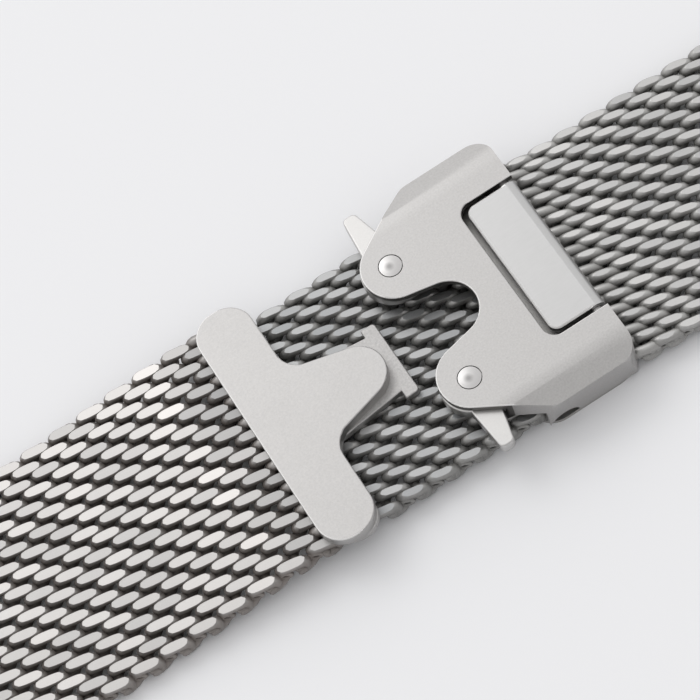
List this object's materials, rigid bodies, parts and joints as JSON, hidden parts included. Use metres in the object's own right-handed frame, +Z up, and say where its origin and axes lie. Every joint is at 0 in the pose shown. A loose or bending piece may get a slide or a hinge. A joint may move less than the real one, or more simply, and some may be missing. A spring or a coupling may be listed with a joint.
{
  "type": "milanese mesh watch band",
  "caption": "Woven wire watch band with a T-shaped hook, a sliding clasp with catch levers, a locking flap and rolled ends on spring bars.",
  "frame": {"origin": "on the table under the middle of the clasp's base plate", "axes": "+X along the band from the hook towards the side that runs through the clasp, +Y across the band, +Z up from the table"},
  "size_m": [0.2001, 0.0224, 0.0046],
  "materials": {
    "woven_mesh": "drawn steel wire with ground flats",
    "spring_wire": "bright spring wire",
    "spring_bar_steel": "turned steel",
    "rolled_end_steel": "satin steel",
    "rivet_steel": "polished steel",
    "flap_steel": "fine satin steel",
    "hook_satin": "fine blasted steel",
    "inner_steel": "plain rolled steel",
    "lever_steel": "satin steel",
    "clasp_satin": "fine blasted steel"
  },
  "bodies": {
    "clasp": {"clasp_shell": "clasp_satin", "clasp_base": "inner_steel", "lever_deck": "inner_steel", "lever_rivet_far": "rivet_steel", "lever_rivet_near": "rivet_steel", "lever_spring_far": "spring_wire", "lever_spring_near": "spring_wire", "flap_hinge_pin": "rivet_steel"},
    "far_lever": {"catch_lever_far": "lever_steel"},
    "near_lever": {"catch_lever_near": "lever_steel"},
    "flap": {"locking_flap": "flap_steel"},
    "hook": {"hook_upper_plate": "hook_satin", "hook_lower_plate": "hook_satin", "mesh_hook_side_stub": "woven_mesh"},
    "band_in_clasp": {"mesh_in_clasp": "woven_mesh"},
    "tail_end": {"mesh_tail_end": "woven_mesh"},
    "hook_side_1": {"mesh_hook_side_1": "woven_mesh"},
    "hook_side_2": {"mesh_hook_side_2": "woven_mesh"},
    "hook_side_3": {"mesh_hook_side_3": "woven_mesh"},
    "hook_side_4": {"mesh_hook_side_4": "woven_mesh"},
    "hook_side_5": {"mesh_hook_side_5": "woven_mesh"},
    "hook_side_6": {"mesh_hook_side_6": "woven_mesh", "rolled_end_hook_side": "rolled_end_steel"},
    "tail_side_1": {"mesh_tail_side_1": "woven_mesh"},
    "tail_side_2": {"mesh_tail_side_2": "woven_mesh"},
    "tail_side_3": {"mesh_tail_side_3": "woven_mesh"},
    "tail_side_4": {"mesh_tail_side_4": "woven_mesh"},
    "tail_side_5": {"mesh_tail_side_5": "woven_mesh"},
    "tail_side_6": {"mesh_tail_side_6": "woven_mesh"},
    "tail_side_7": {"mesh_tail_side_7": "woven_mesh", "rolled_end_tail_side": "rolled_end_steel"},
    "spring_bar_hook_side": {"spring_bar_tube_hook_side": "spring_bar_steel", "spring_bar_spring_hook_side": "spring_wire"},
    "bar_tip_hook_side_far": {"spring_bar_tip_hook_side_far": "spring_bar_steel"},
    "bar_tip_hook_side_near": {"spring_bar_tip_hook_side_near": "spring_bar_steel"},
    "spring_bar_tail_side": {"spring_bar_tube_tail_side": "spring_bar_steel", "spring_bar_spring_tail_side": "spring_wire"},
    "bar_tip_tail_side_far": {"spring_bar_tip_tail_side_far": "spring_bar_steel"},
    "bar_tip_tail_side_near": {"spring_bar_tip_tail_side_near": "spring_bar_steel"}
  },
  "joints": [
    {"name": "hook_slide", "type": "slide", "parent": "clasp", "child": "hook", "axis": [1, 0, 0], "range_m": [0, 0.0079]},
    {"name": "tail_bend", "type": "hinge", "parent": "band_in_clasp", "child": "tail_end", "pos_m": [-0.00802, 0, 0.0012], "axis": [0, -1, 0], "range_deg": [0, 15]},
    {"name": "clasp_adjust", "type": "slide", "parent": "clasp", "child": "band_in_clasp", "axis": [-1, 0, 0], "range_m": [-0.008, 0]},
    {"name": "far_lever_turn", "type": "hinge", "parent": "clasp", "child": "far_lever", "pos_m": [-0.00683, 0.0055, 0.0034], "axis": [0, 0, 1], "range_deg": [0, 14], "stiffness_Nm_per_rad": 0.004, "springref_deg": -8.59},
    {"name": "near_lever_turn", "type": "hinge", "parent": "clasp", "child": "near_lever", "pos_m": [-0.00683, -0.0055, 0.0034], "axis": [0, 0, -1], "range_deg": [0, 14], "stiffness_Nm_per_rad": 0.004, "springref_deg": -8.59},
    {"name": "flap_open", "type": "hinge", "parent": "clasp", "child": "flap", "pos_m": [0.00349, 0, 0.00372], "axis": [0, 1, 0], "range_deg": [0, 85]},
    {"name": "hook_side_curl", "type": "hinge", "parent": "hook", "child": "hook_side_1", "pos_m": [-0.02465, 0, 0.0019], "axis": [0, -1, 0], "range_deg": [-8, 28]},
    {"name": "hook_side_curl_2", "type": "hinge", "parent": "hook_side_1", "child": "hook_side_2", "pos_m": [-0.03594, 0, 0.0008], "axis": [0, -1, 0], "range_deg": [-8, 28]},
    {"name": "hook_side_curl_3", "type": "hinge", "parent": "hook_side_2", "child": "hook_side_3", "pos_m": [-0.04728, 0, 0.0008], "axis": [0, -1, 0], "range_deg": [-8, 28]},
    {"name": "hook_side_curl_4", "type": "hinge", "parent": "hook_side_3", "child": "hook_side_4", "pos_m": [-0.05862, 0, 0.0008], "axis": [0, -1, 0], "range_deg": [-8, 28]},
    {"name": "hook_side_curl_5", "type": "hinge", "parent": "hook_side_4", "child": "hook_side_5", "pos_m": [-0.06996, 0, 0.0008], "axis": [0, -1, 0], "range_deg": [-8, 28]},
    {"name": "hook_side_curl_6", "type": "hinge", "parent": "hook_side_5", "child": "hook_side_6", "pos_m": [-0.0813, 0, 0.0008], "axis": [0, -1, 0], "range_deg": [-8, 28]},
    {"name": "tail_side_curl", "type": "hinge", "parent": "band_in_clasp", "child": "tail_side_1", "pos_m": [0.01027, 0, 0.0012], "axis": [0, 1, 0], "range_deg": [-8, 25]},
    {"name": "tail_side_curl_2", "type": "hinge", "parent": "tail_side_1", "child": "tail_side_2", "pos_m": [0.02247, 0, 0.0008], "axis": [0, 1, 0], "range_deg": [-8, 25]},
    {"name": "tail_side_curl_3", "type": "hinge", "parent": "tail_side_2", "child": "tail_side_3", "pos_m": [0.03467, 0, 0.0008], "axis": [0, 1, 0], "range_deg": [-8, 25]},
    {"name": "tail_side_curl_4", "type": "hinge", "parent": "tail_side_3", "child": "tail_side_4", "pos_m": [0.04687, 0, 0.0008], "axis": [0, 1, 0], "range_deg": [-8, 25]},
    {"name": "tail_side_curl_5", "type": "hinge", "parent": "tail_side_4", "child": "tail_side_5", "pos_m": [0.05907, 0, 0.0008], "axis": [0, 1, 0], "range_deg": [-8, 25]},
    {"name": "tail_side_curl_6", "type": "hinge", "parent": "tail_side_5", "child": "tail_side_6", "pos_m": [0.07127, 0, 0.0008], "axis": [0, 1, 0], "range_deg": [-8, 25]},
    {"name": "tail_side_curl_7", "type": "hinge", "parent": "tail_side_6", "child": "tail_side_7", "pos_m": [0.08347, 0, 0.0008], "axis": [0, 1, 0], "range_deg": [-8, 25]},
    {"name": "spring_bar_hook_side_spin", "type": "hinge", "parent": "hook_side_6", "child": "spring_bar_hook_side", "pos_m": [-0.09724, 0, 0.0013], "axis": [0, 1, 0], "continuous": true},
    {"name": "bar_tip_hook_side_far_press", "type": "slide", "parent": "spring_bar_hook_side", "child": "bar_tip_hook_side_far", "axis": [0, -1, 0], "range_m": [0, 0.00095], "stiffness_N_per_m": 400, "springref_m": -0.002},
    {"name": "bar_tip_hook_side_near_press", "type": "slide", "parent": "spring_bar_hook_side", "child": "bar_tip_hook_side_near", "axis": [0, 1, 0], "range_m": [0, 0.00095], "stiffness_N_per_m": 400, "springref_m": -0.002},
    {"name": "spring_bar_tail_side_spin", "type": "hinge", "parent": "tail_side_7", "child": "spring_bar_tail_side", "pos_m": [0.10027, 0, 0.0013], "axis": [0, 1, 0], "continuous": true},
    {"name": "bar_tip_tail_side_far_press", "type": "slide", "parent": "spring_bar_tail_side", "child": "bar_tip_tail_side_far", "axis": [0, -1, 0], "range_m": [0, 0.00095], "stiffness_N_per_m": 400, "springref_m": -0.002},
    {"name": "bar_tip_tail_side_near_press", "type": "slide", "parent": "spring_bar_tail_side", "child": "bar_tip_tail_side_near", "axis": [0, 1, 0], "range_m": [0, 0.00095], "stiffness_N_per_m": 400, "springref_m": -0.002}
  ],
  "couplings": [
    {"joint": "tail_bend", "follows": "hook_slide", "rad_per_m": 33.136},
    {"joint": "hook_side_curl_2", "follows": "hook_side_curl", "ratio": 1},
    {"joint": "hook_side_curl_3", "follows": "hook_side_curl", "ratio": 1},
    {"joint": "hook_side_curl_4", "follows": "hook_side_curl", "ratio": 1},
    {"joint": "hook_side_curl_5", "follows": "hook_side_curl", "ratio": 1},
    {"joint": "hook_side_curl_6", "follows": "hook_side_curl", "ratio": 1},
    {"joint": "tail_side_curl_2", "follows": "tail_side_curl", "ratio": 1},
    {"joint": "tail_side_curl_3", "follows": "tail_side_curl", "ratio": 1},
    {"joint": "tail_side_curl_4", "follows": "tail_side_curl", "ratio": 1},
    {"joint": "tail_side_curl_5", "follows": "tail_side_curl", "ratio": 1},
    {"joint": "tail_side_curl_6", "follows": "tail_side_curl", "ratio": 1},
    {"joint": "tail_side_curl_7", "follows": "tail_side_curl", "ratio": 1}
  ]
}
